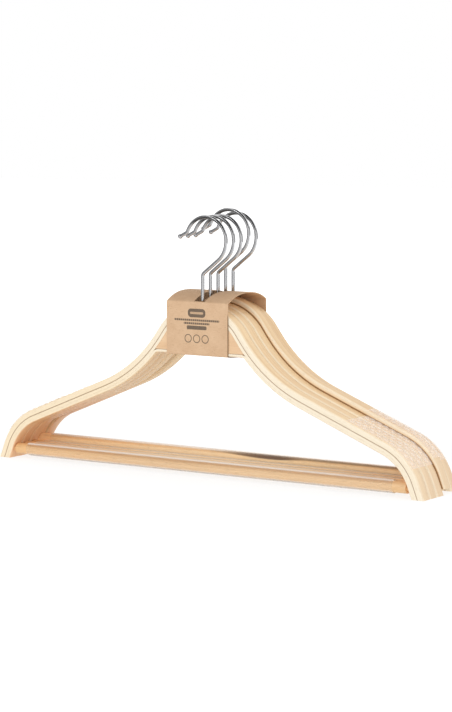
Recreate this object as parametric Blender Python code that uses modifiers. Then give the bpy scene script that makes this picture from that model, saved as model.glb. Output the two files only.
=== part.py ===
"""Five bent wooden clothes hangers, front to back, in one folded paper sleeve.

Each hanger is three moulded plies round a centre block, a trouser rod in a
clear tube between its arms, two clear shoulder pads and a turning wire hook.
Metres, +Z up, X along the hangers, hanger 1 at the front (lowest Y). The
origin is on the floor under the middle of the bundle.
"""
from math import acos, cos, degrees, radians, sin, tan

import bmesh
import bpy
from mathutils import Matrix, Vector

# Driving dimensions, in metres, and angles in degrees
HANGERS = 5
CLEARANCE = 0.0003            # between pieces that touch, wrap or slide on each other

# The arm: slope angles are measured below the horizontal, from the neck to the tip
HANGER_DEPTH = 0.0118         # front face to back face of one hanger
HANGER_LIFTS = (0.0, 0.0, 0.0, 0.0050, 0.0015)   # how high the sleeve holds each, front to back
NECK_RADIUS = 0.0475
NECK_SLOPE = 54.0
FLANK_LENGTH = 0.0080         # straight run between the neck and the hollow of the arm
HOLLOW_RADIUS = 0.1386
SHOULDER_SLOPE = 22.0
SHOULDER_LENGTH = 0.0895
TIP_RADIUS = 0.0515
TIP_SLOPE = 69.0
TIP_LENGTH = 0.0130           # straight run from the tip's bend to the floor

UPPER_PLY = 0.0054
ARCH_PLY = 0.0025
BOTTOM_PLY = 0.0025
BRIDGE_DROP = 0.0364          # from under the upper ply down to the bottom ply's straight middle
FORK_RADIUS = 0.0080          # bend of the bottom ply where it leaves the arm
BLOCK_MIN_EDGE = 0.0010       # height at which the block's thin ends are cut off

# The hook, a plated wire: its turns in degrees
WIRE = 0.0034
SHANK_ABOVE = 0.0243          # from the top of the wood to the knee
KNEE_RADIUS = 0.0040
KNEE_TURN = 52.0
HOOK_RAMP = 0.0189
BOWL_RADIUS = 0.0210
BOWL_TURN = 210.0
FLARE_RADIUS = 0.0030
FLARE_TURN = 41.0
FLARE_LENGTH = 0.0072
BALL = 0.0046
SHANK_HEAD = 0.0070
SHANK_HEAD_HEIGHT = 0.0020
SHANK_CLEARANCE = 0.0004      # round the shank, where it turns in the wood and the bush

BUSH = 0.0088
BUSH_HEIGHT = 0.0080
BUSH_COVER = 0.0100           # wood of the block over the bush

# The trouser rod and its tube
ROD = 0.0102
ROD_HEIGHT = 0.0090           # of the rod's axis above the tips' ends
TENON = 0.0060
TUBE_WALL = 0.0005
TUBE_MARGIN = 0.0130          # bare wood between the tube and the rod's shoulder

# The shoulder pads
PAD_THICKNESS = 0.0012
PAD_MARGIN = 0.0005           # bare wood in front of the pad and behind it
PAD_RUN = 0.0413              # its stretch on the straight shoulder, above the tip's bend
PAD_END_SLOPE = 56.0

# The paper sleeve
PAPER = 0.0005
SLEEVE_WIDTH = 0.0650
SLEEVE_SHIFT = -0.0015        # it sits a little to the left of the middle
SLEEVE_HEADROOM = 0.0016      # from the wood up to the front fold
SLEEVE_BACK_ROOM = 0.0008     # from the back hanger's wood up to the back fold
SLEEVE_RISE = 0.0076          # of its domed top above the line from fold to fold
SLEEVE_ROUNDING = 2.4         # power of the dome's curve: 2 is a plain arch, more is flatter on top
SLEEVE_SAG = 0.0016
SLOT_WIDTH = 0.0120
SLOT_SETBACK = 0.0012         # from the front fold to the slot
SLOT_BACK_MARGIN = 0.0030     # from the slot to the back fold

ROUND_SIDES = 16
HOLE_SIDES = 12
NECK_STEPS = 6
HOLLOW_STEPS = 6
TIP_STEPS = 7
FORK_STEPS = 4
PAD_STEPS = 5
BEND_STEP = 16.0              # of the hook's wire, in degrees

# What follows from them
NECK_TOP = (NECK_RADIUS * (1 - cos(radians(NECK_SLOPE)))
            + FLANK_LENGTH * sin(radians(NECK_SLOPE))
            + HOLLOW_RADIUS * (cos(radians(SHOULDER_SLOPE)) - cos(radians(NECK_SLOPE)))
            + SHOULDER_LENGTH * sin(radians(SHOULDER_SLOPE))
            + TIP_RADIUS * (cos(radians(SHOULDER_SLOPE)) - cos(radians(TIP_SLOPE)))
            + TIP_LENGTH * sin(radians(TIP_SLOPE)))   # the upper ply's underside, over the floor
WOOD_TOP = NECK_TOP + UPPER_PLY
BRIDGE_HEIGHT = NECK_TOP - BRIDGE_DROP
KNEE_HEIGHT = WOOD_TOP + SHANK_ABOVE
BUSH_TOP = NECK_TOP - ARCH_PLY - 3 * CLEARANCE - BUSH_COVER
SLEEVE_FRONT_FOLD = WOOD_TOP + SLEEVE_HEADROOM
SLEEVE_BACK_FOLD = WOOD_TOP + HANGER_LIFTS[-1] + SLEEVE_BACK_ROOM
PITCH = HANGER_DEPTH + CLEARANCE
STACK_DEPTH = HANGERS * HANGER_DEPTH + (HANGERS - 1) * CLEARANCE
PAD_DEPTH = HANGER_DEPTH - 2 * PAD_MARGIN
UPPER_OUTSIDE = UPPER_PLY
ARCH_OUTSIDE = -CLEARANCE
ARCH_INSIDE = ARCH_OUTSIDE - ARCH_PLY
BOTTOM_OUTSIDE = ARCH_INSIDE - CLEARANCE
BORE = WIRE + 2 * SHANK_CLEARANCE

COLLECTION = "wooden_hanger_bundle"


def clear_scene():
    """Remove whatever the file holds."""
    for item in list(bpy.data.objects):
        bpy.data.objects.remove(item, do_unlink=True)


def make_collection(name):
    """A new collection in the scene."""
    group = bpy.data.collections.new(name)
    bpy.context.scene.collection.children.link(group)
    return group


def make_material(name, colour, roughness, metallic=0.0, alpha=1.0):
    """A Principled material of one colour."""
    material = bpy.data.materials.new(name)
    material.use_nodes = True
    shader = material.node_tree.nodes["Principled BSDF"]
    shader.inputs["Base Color"].default_value = (*colour, 1.0)
    shader.inputs["Roughness"].default_value = roughness
    shader.inputs["Metallic"].default_value = metallic
    shader.inputs["Alpha"].default_value = alpha
    material.diffuse_color = (*colour, alpha)
    return material


def hanger_place(index, height=0.0):
    """A point of a hanger's middle plane, over its own foot; 0 is the front hanger."""
    y = (index - (HANGERS - 1) / 2) * PITCH
    return Vector((0.0, y, HANGER_LIFTS[index % len(HANGER_LIFTS)] + height))


# Edges of the plies, as stations (x, z, slope angle) from the middle to the tip
def rounded(x, z, start, stop, radius, steps):
    """Stations of an arc that starts at x, z; a negative radius is a hollow."""
    centre_x = x - radius * sin(radians(start))
    centre_z = z - radius * cos(radians(start))
    stations = []
    for step in range(1, steps + 1):
        angle = start + (stop - start) * step / steps
        turn = radians(angle)
        stations.append((centre_x + radius * sin(turn), centre_z + radius * cos(turn), angle))
    return stations


def straight(x, z, angle, length):
    """The station at the end of a straight run."""
    return (x + length * cos(radians(angle)), z - length * sin(radians(angle)), angle)


def arm_stations():
    """The underside of the upper ply, from the middle of the neck to the tip."""
    line = [(0.0, NECK_TOP, 0.0)]
    line += rounded(0.0, NECK_TOP, 0.0, NECK_SLOPE, NECK_RADIUS, NECK_STEPS)
    line.append(straight(*line[-1], FLANK_LENGTH))
    line += rounded(*line[-1][:2], NECK_SLOPE, SHOULDER_SLOPE, -HOLLOW_RADIUS, HOLLOW_STEPS)
    line.append(straight(*line[-1], SHOULDER_LENGTH))
    line += rounded(*line[-1][:2], SHOULDER_SLOPE, TIP_SLOPE, TIP_RADIUS, TIP_STEPS)
    return line


def bridge_stations():
    """The same line where the bottom ply leaves the arm and runs straight across."""
    hollow = arm_stations()[1 + NECK_STEPS]
    centre_x = hollow[0] + HOLLOW_RADIUS * sin(radians(NECK_SLOPE))
    centre_z = hollow[1] + HOLLOW_RADIUS * cos(radians(NECK_SLOPE))
    reach = HOLLOW_RADIUS - BOTTOM_OUTSIDE
    fork_slope = degrees(acos((centre_z + FORK_RADIUS - BRIDGE_HEIGHT) / (reach + FORK_RADIUS)))
    bend_x = centre_x - (reach + FORK_RADIUS) * sin(radians(fork_slope))
    line = [(0.0, BRIDGE_HEIGHT, 0.0), (bend_x, BRIDGE_HEIGHT, 0.0)]
    line += rounded(bend_x, BRIDGE_HEIGHT, 0.0, fork_slope, FORK_RADIUS, FORK_STEPS)
    line += rounded(*line[-1][:2], fork_slope, SHOULDER_SLOPE, -reach, HOLLOW_STEPS)
    line.append(straight(*line[-1], SHOULDER_LENGTH))
    line += rounded(*line[-1][:2], SHOULDER_SLOPE, TIP_SLOPE, TIP_RADIUS + BOTTOM_OUTSIDE, TIP_STEPS)
    return line


def shifted(stations, distance):
    """The points a distance outside the stations."""
    points = []
    for x, z, angle in stations:
        turn = radians(angle)
        points.append((x + distance * sin(turn), z + distance * cos(turn)))
    return points


def to_floor(points):
    """The same points, ended on the floor along the tip's slope."""
    x, z = points[-1]
    return points + [(x + z / tan(radians(TIP_SLOPE)), 0.0)]


def both_halves(points):
    """The left half's points, then the right half's."""
    return [(-x, z) for x, z in reversed(points[1:])] + points


def ply_outline(stations, outside, thickness):
    """The closed outline of a ply that runs from tip to tip."""
    upper = both_halves(to_floor(shifted(stations, outside)))
    lower = both_halves(to_floor(shifted(stations, outside - thickness)))
    return upper + lower[::-1]


def x_at_height(points, height):
    """Where the points' line comes down to a height."""
    for (x_high, z_high), (x_low, z_low) in zip(points, points[1:]):
        if z_high >= height > z_low:
            return x_high + (x_low - x_high) * (z_high - height) / (z_high - z_low)
    return points[-1][0]


# Ways of making a piece
def link(mesh, name, group, material=None):
    """A new object of a mesh."""
    item = bpy.data.objects.new(name, mesh)
    group.objects.link(item)
    if material:
        mesh.materials.clear()
        mesh.materials.append(material)
    return item


def as_mesh(item, name, group, material):
    """Swap a curve object for a welded mesh object in the same place."""
    bpy.context.view_layer.update()
    evaluated = item.evaluated_get(bpy.context.evaluated_depsgraph_get())
    mesh = bpy.data.meshes.new_from_object(evaluated)
    place = item.matrix_world.copy()
    bpy.data.objects.remove(item, do_unlink=True)
    work = bmesh.new()
    work.from_mesh(mesh)
    bmesh.ops.remove_doubles(work, verts=work.verts, dist=0.00001)
    bmesh.ops.recalc_face_normals(work, faces=work.faces)
    work.to_mesh(mesh)
    work.free()
    mesh.name = name
    piece = link(mesh, name, group, material)
    piece.matrix_world = place
    return piece


def plank(name, outline, depth, place, group, material):
    """A flat outline in X and Z, made as thick as depth along Y."""
    curve = bpy.data.curves.new(name, "CURVE")
    curve.dimensions = "2D"
    curve.fill_mode = "BOTH"
    curve.extrude = depth / 2
    spline = curve.splines.new("POLY")
    spline.points.add(len(outline) - 1)
    for point, (x, z) in zip(spline.points, outline):
        point.co = (x, z, 0.0, 1.0)
    spline.use_cyclic_u = True
    item = link(curve, name + "_outline", group)
    item.location = place
    item.rotation_euler = (radians(90), 0.0, 0.0)
    return as_mesh(item, name, group, material)


def wire(name, points, diameter, group, material):
    """A round wire through points."""
    curve = bpy.data.curves.new(name, "CURVE")
    curve.dimensions = "3D"
    curve.bevel_depth = diameter / 2
    curve.bevel_resolution = 2
    curve.use_fill_caps = True
    spline = curve.splines.new("POLY")
    spline.points.add(len(points) - 1)
    for point, place in zip(spline.points, points):
        point.co = (*place, 1.0)
    return as_mesh(link(curve, name + "_path", group), name, group, material)


def turned(name, profile, place, axis, group, material, closed=False, sides=ROUND_SIDES):
    """A profile of (radius, height) pairs, top to bottom, turned about an axis."""
    mesh = bpy.data.meshes.new(name)
    edges = [(step, step + 1) for step in range(len(profile) - 1)]
    if closed:
        edges.append((len(profile) - 1, 0))
    mesh.from_pydata([(radius, 0.0, height) for radius, height in profile], edges, [])
    item = link(mesh, name, group, material)
    item.location = place
    item.rotation_mode = "QUATERNION"
    item.rotation_quaternion = Vector((0, 0, 1)).rotation_difference(Vector(axis))
    screw = item.modifiers.new("Screw", "SCREW")
    screw.steps = sides
    screw.render_steps = sides
    screw.use_merge_vertices = True
    screw.merge_threshold = 0.00001
    return item


def solid_mesh(kind, size):
    """A new mesh of a bmesh primitive."""
    mesh = bpy.data.meshes.new(kind)
    work = bmesh.new()
    if kind == "rod":
        bmesh.ops.create_cone(work, cap_ends=True, segments=HOLE_SIDES, radius1=size[0] / 2,
                              radius2=size[0] / 2, depth=size[1])
    elif kind == "ball":
        bmesh.ops.create_uvsphere(work, u_segments=10, v_segments=7, radius=size[0] / 2)
    else:
        bmesh.ops.create_cube(work, size=1.0, matrix=Matrix.Diagonal((*size, 1.0)))
    work.to_mesh(mesh)
    work.free()
    return mesh


def tool(name, kind, size, place, cutters, axis=(0, 0, 1)):
    """A hidden solid that cuts a piece or is joined to it."""
    item = link(solid_mesh(kind, size), name, cutters)
    item.location = place
    item.rotation_mode = "QUATERNION"
    item.rotation_quaternion = Vector((0, 0, 1)).rotation_difference(Vector(axis))
    item.hide_render = True
    item.display_type = "WIRE"
    return item


def combine(piece, other, operation):
    """Cut a piece by another solid, or join the solid to it."""
    boolean = piece.modifiers.new(other.name, "BOOLEAN")
    boolean.operation = operation
    boolean.solver = "EXACT"
    boolean.object = other


def walk(x, z, heading, moves):
    """Points of a wire bent in the XZ plane.

    A move is (length, 0) for a straight run, or (radius, degrees) for a bend,
    with degrees positive to the left of the heading.
    """
    points = [(x, z)]
    for size, turn in moves:
        if not turn:
            x += size * cos(radians(heading))
            z += size * sin(radians(heading))
            points.append((x, z))
            continue
        steps = max(2, round(abs(turn) / BEND_STEP))
        side = 90 if turn > 0 else -90
        centre_x = x + size * cos(radians(heading + side))
        centre_z = z + size * sin(radians(heading + side))
        for _ in range(steps):
            heading += turn / steps
            x = centre_x + size * cos(radians(heading - side))
            z = centre_z + size * sin(radians(heading - side))
            points.append((x, z))
    return points


# The pieces of one hanger
def make_plies(index, group, cutters, material):
    """The upper ply, the arch ply under it and the bottom ply that bridges the arms."""
    place = hanger_place(index)
    number = index + 1
    arm = arm_stations()
    bridge = bridge_stations()
    upper = plank(f"upper_ply_{number}", ply_outline(arm, UPPER_OUTSIDE, UPPER_PLY),
                  HANGER_DEPTH, place, group, material)
    arch = plank(f"arch_ply_{number}", ply_outline(arm, ARCH_OUTSIDE, ARCH_PLY),
                 HANGER_DEPTH, place, group, material)
    bottom = plank(f"bottom_ply_{number}", ply_outline(bridge, 0.0, BOTTOM_PLY),
                   HANGER_DEPTH, place, group, material)
    bore = tool(f"hook_bore_{number}", "rod", (BORE, NECK_TOP),
                hanger_place(index, WOOD_TOP), cutters)
    combine(upper, bore, "DIFFERENCE")
    combine(arch, bore, "DIFFERENCE")
    reach = 2 * to_floor(shifted(arm, 0.0))[-1][0]
    mortise = tool(f"mortise_{number}", "rod", (TENON + 2 * CLEARANCE, reach),
                   hanger_place(index, ROD_HEIGHT), cutters, axis=(1, 0, 0))
    combine(arch, mortise, "DIFFERENCE")
    combine(bottom, mortise, "DIFFERENCE")


def make_block(index, group, cutters, material):
    """The wedge-ended filler between the arch ply and the bottom ply."""
    place = hanger_place(index)
    number = index + 1
    floor = BRIDGE_HEIGHT + CLEARANCE
    arch = shifted(arm_stations(), ARCH_INSIDE - CLEARANCE)
    end_height = floor + BLOCK_MIN_EDGE
    top = [(x, z) for x, z in arch if z > end_height]
    end = (x_at_height(arch, end_height), end_height)
    top.append(end)
    outline = both_halves(top) + [(end[0], floor), (-end[0], floor)]
    block = plank(f"centre_block_{number}", outline, HANGER_DEPTH, place, group, material)
    pocket_top = BUSH_TOP + CLEARANCE
    pocket = tool(f"bush_pocket_{number}", "rod", (BUSH + 2 * CLEARANCE, 2 * (pocket_top - floor)),
                  hanger_place(index, floor), cutters)
    bore = tool(f"block_bore_{number}", "rod", (BORE, NECK_TOP),
                hanger_place(index, NECK_TOP), cutters)
    combine(block, pocket, "DIFFERENCE")
    combine(block, bore, "DIFFERENCE")


def make_bush(index, group, material):
    """The collar in the block that the hook's shank turns in."""
    inner = BORE / 2
    outer = BUSH / 2
    profile = [(outer, 0.0), (outer, -BUSH_HEIGHT), (inner, -BUSH_HEIGHT), (inner, 0.0)]
    turned(f"hook_bush_{index + 1}", profile, hanger_place(index, BUSH_TOP), (0, 0, 1),
           group, material, closed=True, sides=HOLE_SIDES)


def make_hook(index, group, cutters, material):
    """The bent wire hook, with a head under the bush and a ball at its end."""
    place = hanger_place(index)
    number = index + 1
    foot = BUSH_TOP - BUSH_HEIGHT - CLEARANCE - SHANK_HEAD_HEIGHT
    moves = [(KNEE_HEIGHT - foot, 0), (KNEE_RADIUS, -KNEE_TURN), (HOOK_RAMP, 0), (BOWL_RADIUS, BOWL_TURN),
             (FLARE_RADIUS, -FLARE_TURN), (FLARE_LENGTH, 0)]
    points = [(x, 0.0, z) for x, z in walk(0.0, foot, 90.0, moves)]
    hook = wire(f"hook_{number}", points, WIRE, group, material)
    hook.location = place
    head = tool(f"shank_head_{number}", "rod", (SHANK_HEAD, SHANK_HEAD_HEIGHT),
                hanger_place(index, foot + SHANK_HEAD_HEIGHT / 2), cutters)
    ball = tool(f"hook_ball_{number}", "ball", (BALL,), place + Vector(points[-1]), cutters)
    combine(hook, head, "UNION")
    combine(hook, ball, "UNION")


def make_rod(index, group, wood, plastic):
    """The trouser rod, tenoned into both arms, and the clear tube round it."""
    place = hanger_place(index, ROD_HEIGHT)
    number = index + 1
    seat = to_floor(shifted(arm_stations(), 0.0))
    face = to_floor(shifted(bridge_stations(), -BOTTOM_PLY))
    end = x_at_height(seat, ROD_HEIGHT + TENON / 2) - CLEARANCE
    shoulder = x_at_height(face, ROD_HEIGHT + ROD / 2) - CLEARANCE
    half = [(0.0, end), (TENON / 2, end), (TENON / 2, shoulder), (ROD / 2, shoulder)]
    profile = half + [(radius, -height) for radius, height in reversed(half)]
    turned(f"trouser_rod_{number}", profile, place, (1, 0, 0), group, wood)
    inner = ROD / 2 + CLEARANCE
    outer = inner + TUBE_WALL
    half_length = shoulder - TUBE_MARGIN
    ring = [(outer, half_length), (outer, -half_length), (inner, -half_length), (inner, half_length)]
    turned(f"rod_tube_{number}", ring, place, (1, 0, 0), group, plastic, closed=True)


def make_pads(index, group, material):
    """The clear pads on the outer part of both shoulders."""
    place = hanger_place(index)
    arm = arm_stations()
    shoulder_end = arm[-1 - TIP_STEPS]
    line = [straight(*shoulder_end, -PAD_RUN), shoulder_end]
    line += rounded(*shoulder_end[:2], SHOULDER_SLOPE, PAD_END_SLOPE, TIP_RADIUS, PAD_STEPS)
    inside = UPPER_OUTSIDE + CLEARANCE
    outline = shifted(line, inside + PAD_THICKNESS) + shifted(line, inside)[::-1]
    for side, mirror in (("left", -1), ("right", 1)):
        mirrored = [(mirror * x, z) for x, z in outline]
        plank(f"pad_{side}_{index + 1}", mirrored, PAD_DEPTH, place, group, material)


def sleeve_section():
    """The paper's inner face, as points (y, z) once round, from the front fold up."""
    half = STACK_DEPTH / 2 + CLEARANCE
    bottom = BRIDGE_HEIGHT - BOTTOM_PLY - CLEARANCE
    steps = 8
    section = []
    for step in range(steps + 1):
        part = step / steps
        rise = SLEEVE_RISE * (1 - abs(2 * part - 1) ** SLEEVE_ROUNDING)
        height = SLEEVE_FRONT_FOLD + (SLEEVE_BACK_FOLD - SLEEVE_FRONT_FOLD) * part
        section.append((-half + 2 * half * part, height + rise))
    steps = 4
    for step in range(steps + 1):
        part = step / steps
        sag = SLEEVE_SAG * (1 - (2 * part - 1) ** 2)
        section.append((half - 2 * half * part, bottom - sag))
    return section


def make_sleeve(group, cutters, material):
    """The paper folded round all the necks, with a slot for the hooks."""
    section = sleeve_section()
    count = len(section)
    ends = (SLEEVE_SHIFT - SLEEVE_WIDTH / 2, SLEEVE_SHIFT + SLEEVE_WIDTH / 2)
    places = [(x, y, z) for x in ends for y, z in section]
    faces = []
    for step in range(count):
        after = (step + 1) % count
        faces.append((step, count + step, count + after, after))
    mesh = bpy.data.meshes.new("paper_sleeve")
    mesh.from_pydata(places, [], faces)
    sleeve = link(mesh, "paper_sleeve", group, material)
    wall = sleeve.modifiers.new("Paper", "SOLIDIFY")
    wall.thickness = PAPER
    wall.offset = 1.0
    wall.use_even_offset = True
    length = STACK_DEPTH - SLOT_SETBACK - SLOT_BACK_MARGIN
    slot = tool("hook_slot", "box", (SLOT_WIDTH, length, SHANK_ABOVE),
                (0.0, (SLOT_SETBACK - SLOT_BACK_MARGIN) / 2, SLEEVE_FRONT_FOLD), cutters)
    combine(sleeve, slot, "DIFFERENCE")


def build():
    """Make every piece."""
    clear_scene()
    group = make_collection(COLLECTION)
    cutters = make_collection("cutters")
    ply = make_material("pale_ply", (0.83, 0.66, 0.44), 0.5)
    core = make_material("block_wood", (0.74, 0.53, 0.31), 0.55)
    rod = make_material("rod_wood", (0.70, 0.45, 0.22), 0.5)
    clear = make_material("clear_tube", (0.80, 0.70, 0.58), 0.1, alpha=0.35)
    pad = make_material("clear_pad", (0.85, 0.83, 0.80), 0.25, alpha=0.5)
    chrome = make_material("plated_wire", (0.62, 0.63, 0.65), 0.12, metallic=1.0)
    steel = make_material("bush_steel", (0.55, 0.55, 0.56), 0.35, metallic=1.0)
    kraft = make_material("kraft_paper", (0.56, 0.38, 0.23), 0.85)
    for index in range(HANGERS):
        make_plies(index, group, cutters, ply)
        make_block(index, group, cutters, core)
        make_bush(index, group, steel)
        make_hook(index, group, cutters, chrome)
        make_rod(index, group, rod, clear)
        make_pads(index, group, pad)
    make_sleeve(group, cutters, kraft)
    bpy.context.view_layer.update()


build()
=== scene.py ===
# %% [markdown]
# A retail bundle of five bent wooden clothes hangers, held round their necks by a folded kraft
# paper sleeve. The exact model comes in first as a fixed frame. Each visible piece is then made
# again with finer curves and rounded edges, in the same place, and stands for its rough twin.

from math import acos, cos, degrees, pi, radians, sin

import bmesh
import bpy
import numpy as np
from mathutils import Matrix, Vector


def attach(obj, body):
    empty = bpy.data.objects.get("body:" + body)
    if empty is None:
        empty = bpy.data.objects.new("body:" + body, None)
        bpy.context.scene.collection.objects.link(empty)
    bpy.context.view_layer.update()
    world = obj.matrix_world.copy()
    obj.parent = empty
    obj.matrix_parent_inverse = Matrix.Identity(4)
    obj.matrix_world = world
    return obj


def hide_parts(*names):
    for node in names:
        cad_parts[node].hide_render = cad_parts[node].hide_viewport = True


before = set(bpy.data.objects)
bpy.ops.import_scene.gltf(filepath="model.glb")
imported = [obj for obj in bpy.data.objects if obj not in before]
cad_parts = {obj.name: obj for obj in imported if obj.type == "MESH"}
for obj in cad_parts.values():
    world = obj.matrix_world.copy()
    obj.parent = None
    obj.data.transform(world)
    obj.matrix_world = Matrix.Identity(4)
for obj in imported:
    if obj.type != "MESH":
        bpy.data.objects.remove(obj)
bpy.context.view_layer.update()
bpy.ops.object.select_all(action="DESELECT")

# %% [markdown]
# The camera stands in front of the bundle, 34 degrees to its right and a little above it, with
# a long lens. Its place and focal length come from a fit of the hangers' own sizes to measured
# points of the photograph, so it needs no shift.

# %% Camera
FOCAL_LENGTH, SENSOR_WIDTH = 121.35, 36.0
TILTED_DOWN, TURNED_LEFT = 0.1074, 0.5871

lens = bpy.data.cameras.new("camera")
lens.lens = FOCAL_LENGTH
lens.sensor_width = SENSOR_WIDTH
camera = bpy.data.objects.new("camera", lens)
camera.location = (1.1806, -1.7617, 0.3340)
camera.rotation_euler = (pi / 2 - TILTED_DOWN, 0.0, TURNED_LEFT)
bpy.context.scene.collection.objects.link(camera)
bpy.context.scene.camera = camera
bpy.context.scene.view_settings.view_transform = "Standard"
print("camera", round(camera.location.length, 3), "m from the bundle's foot")

# %% [markdown]
# A product on white is lit from wide, soft sources. A large lamp in front makes the front faces
# the brightest, as the pale cut edges of the plies are, and the room fills the rest, so that
# faces that look up are a third darker.

# %% Lamps and room
def add_lamp(name, place, target, size, power, mirrored=True):
    """A soft rectangular lamp that looks at a point, and may be left out of mirrors."""
    lamp = bpy.data.lights.new(name, "AREA")
    lamp.shape = "RECTANGLE"
    lamp.size = size[0]
    lamp.size_y = size[1]
    lamp.energy = power
    item = bpy.data.objects.new(name, lamp)
    item.location = place
    item.rotation_euler = (Vector(target) - Vector(place)).to_track_quat("-Z", "Y").to_euler()
    item.visible_camera = False
    item.visible_glossy = mirrored
    bpy.context.scene.collection.objects.link(item)


middle = (0.0, 0.0, 0.1)
add_lamp("front_lamp", (-0.5, -2.2, 1.0), middle, (1.6, 1.2), 14.0)
add_lamp("right_lamp", (2.2, -0.3, 0.9), middle, (0.9, 1.4), 9.0, mirrored=False)
add_lamp("top_lamp", (0.3, 0.5, 2.2), middle, (1.2, 0.8), 5.0)
print("lamps", [lamp.name for lamp in bpy.data.lights])

world = bpy.data.worlds.new("room")
world.use_nodes = True
bpy.context.scene.world = world

# %% [markdown]
# Every finish below is a recipe of nodes. A small class wraps a node's output, so that a recipe
# reads as sums on values, and one method adds any other node from its type, its settings and
# what goes into its sockets.

# %% Values that run from node to node
class Flow:
    """A number, colour or vector that runs from one node to the next."""

    def __init__(self, tree, socket):
        self.tree = tree
        self.socket = socket

    def math(self, operation, *others):
        """A Math node on this value and the others."""
        return add_node(self.tree, "ShaderNodeMath", {"operation": operation}, [self, *others])

    def __add__(self, other):
        return self.math("ADD", other)

    def __sub__(self, other):
        return self.math("SUBTRACT", other)

    def __rsub__(self, other):
        return add_node(self.tree, "ShaderNodeMath", {"operation": "SUBTRACT"}, [other, self])

    def __mul__(self, other):
        return self.math("MULTIPLY", other)

    def __truediv__(self, other):
        return self.math("DIVIDE", other)

    def __rtruediv__(self, other):
        return add_node(self.tree, "ShaderNodeMath", {"operation": "DIVIDE"}, [other, self])

    __radd__ = __add__
    __rmul__ = __mul__

    def clipped(self, low, high):
        """0 below low, 1 above high and smooth between; low may be the larger."""
        ends = {1: low, 2: high, 3: 0.0, 4: 1.0}
        if low > high:
            ends = {1: high, 2: low, 3: 1.0, 4: 0.0}
        return add_node(self.tree, "ShaderNodeMapRange", {"interpolation_type": "SMOOTHSTEP"},
                        {0: self, **ends})


def add_node(tree, kind, settings, inputs, output=0):
    """Add a node, make its settings, feed its sockets and give one of its outputs."""
    node = tree.nodes.new(kind)
    for name, value in settings.items():
        setattr(node, name, value)
    pairs = inputs.items() if isinstance(inputs, dict) else enumerate(inputs)
    for name, value in pairs:
        if isinstance(value, Flow):
            tree.links.new(value.socket, node.inputs[name])
        else:
            node.inputs[name].default_value = value
    return Flow(tree, node.outputs[output])


# %% Colours, noise and bumps
def mix_colours(share, first, second, blend="MIX"):
    """A colour between two, or another blend of them, by a share that is a flow."""
    rgba = [colour if isinstance(colour, Flow) else (*colour, 1.0) for colour in (first, second)]
    return add_node(share.tree, "ShaderNodeMix", {"data_type": "RGBA", "blend_type": blend},
                    {0: share, 6: rgba[0], 7: rgba[1]}, output=2)


def tinted(share, colour, tint):
    """A colour multiplied by a tint, as far as a share says."""
    return mix_colours(share, colour, tint, "MULTIPLY")


def new_finish(name, **constants):
    """A material with a Principled shader, and its tree."""
    material = bpy.data.materials.new(name)
    material.use_nodes = True
    shader = material.node_tree.nodes["Principled BSDF"]
    for socket, value in constants.items():
        shader.inputs[socket.replace("_", " ")].default_value = value
    return material, material.node_tree, shader


def feed(shader, **flows):
    """Link flows to the shader's sockets."""
    for socket, flow in flows.items():
        flow.tree.links.new(flow.socket, shader.inputs[socket.replace("_", " ")])


def noise(where, scale, detail, roughness=0.55):
    """Smooth random variation from 0 to 1 in a space of vectors."""
    return add_node(where.tree, "ShaderNodeTexNoise", {},
                    {"Vector": where, "Scale": scale, "Detail": detail, "Roughness": roughness})


def vector(x, y, z):
    """Three values as one vector."""
    return add_node(x.tree, "ShaderNodeCombineXYZ", {}, [x, y, z])


def parts_of(flow):
    """The three values of a vector."""
    node = flow.tree.nodes.new("ShaderNodeSeparateXYZ")
    flow.tree.links.new(flow.socket, node.inputs[0])
    return [Flow(flow.tree, output) for output in node.outputs]


def place_in(tree):
    """The object's own coordinates, in metres."""
    return add_node(tree, "ShaderNodeTexCoord", {}, {}, output="Object")


def bumped(height, distance, strength):
    """A normal bent by a height map; distance is in metres."""
    return add_node(height.tree, "ShaderNodeBump", {},
                    {"Strength": strength, "Distance": distance, "Height": height})


# %% [markdown]
# The floor and the room are white only for the camera and in mirrors. On everything else the
# room shines at a plain, lower level, so the wood keeps its own colour. The floor is a little
# darker near the hangers, where it takes their shadow, and turns fully white further out.

# %% Room and floor
ROOM_LEVEL, FLOOR_GREY, FLOOR_GLOW, GLOW_SEEN, GLOW_FAR = 0.74, 0.22, 0.70, 0.12, 0.40


def seen_by_camera(tree):
    """1 for the camera and in mirrors and clear things, 0 for light that falls on a surface."""
    path = tree.nodes.new("ShaderNodeLightPath")
    seen = Flow(tree, path.outputs["Is Camera Ray"])
    for ray in ("Is Glossy Ray", "Is Transmission Ray"):
        seen = seen.math("MAXIMUM", Flow(tree, path.outputs[ray]))
    return seen


def show(shader, kind="ShaderNodeOutputMaterial"):
    """End a tree with the shader that it shows."""
    end = shader.tree.nodes.new(kind)
    shader.tree.links.new(shader.socket, end.inputs["Surface"])


def bare_finish(name):
    """A material whose tree is still empty, and the tree."""
    material = bpy.data.materials.new(name)
    material.use_nodes = True
    material.node_tree.nodes.clear()
    return material, material.node_tree


air = world.node_tree
air.nodes.clear()
strength = ROOM_LEVEL + seen_by_camera(air) * (1 - ROOM_LEVEL)
white = {"Color": (1.0, 1.0, 1.0, 1.0), "Strength": strength}
show(add_node(air, "ShaderNodeBackground", {}, white), "ShaderNodeOutputWorld")

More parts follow.
